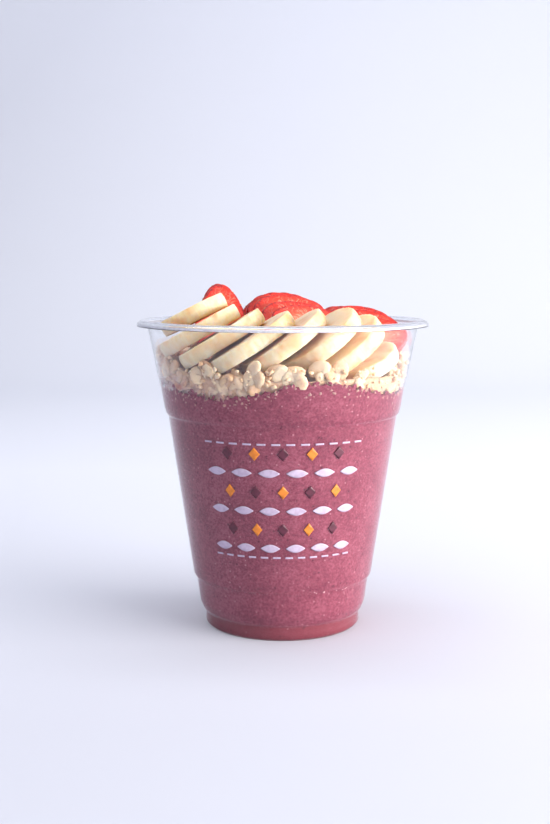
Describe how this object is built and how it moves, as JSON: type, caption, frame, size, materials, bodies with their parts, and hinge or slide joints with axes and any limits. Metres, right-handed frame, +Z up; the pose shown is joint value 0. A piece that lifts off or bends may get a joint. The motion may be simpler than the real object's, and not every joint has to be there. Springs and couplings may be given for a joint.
{
  "type": "acai bowl",
  "caption": "Acai puree in a clear cold cup, topped with granola, a row of banana slices and fanned strawberry slices",
  "frame": {"origin": "middle of the cup's foot ring, on the surface that it stands on", "axes": "+Z up along the cup's axis; -Y is the front, where the banana slices lie; +X is to the right seen from the front"},
  "size_m": [0.098, 0.098, 0.1154],
  "materials": {
    "clear_plastic": "thermoformed clear plastic, glossy",
    "acai": "thick frozen fruit puree with fine specks, satin",
    "oats": "toasted rolled oats and clusters, matte",
    "banana_flesh": "peeled and cut banana, moist",
    "strawberry_flesh": "cut strawberry, wet"
  },
  "bodies": {
    "root": {"cup": "clear_plastic", "acai_puree": "acai", "granola": "oats", "banana_1": "banana_flesh", "banana_2": "banana_flesh", "banana_3": "banana_flesh", "banana_4": "banana_flesh", "banana_5": "banana_flesh", "banana_6": "banana_flesh", "banana_7": "banana_flesh", "banana_8": "banana_flesh", "strawberry_1": "strawberry_flesh", "strawberry_2": "strawberry_flesh", "strawberry_3": "strawberry_flesh", "strawberry_4": "strawberry_flesh", "strawberry_5": "strawberry_flesh", "strawberry_6": "strawberry_flesh", "strawberry_7": "strawberry_flesh", "strawberry_8": "strawberry_flesh", "strawberry_9": "strawberry_flesh", "strawberry_10": "strawberry_flesh", "strawberry_11": "strawberry_flesh", "strawberry_12": "strawberry_flesh", "strawberry_13": "strawberry_flesh"}
  },
  "joints": []
}
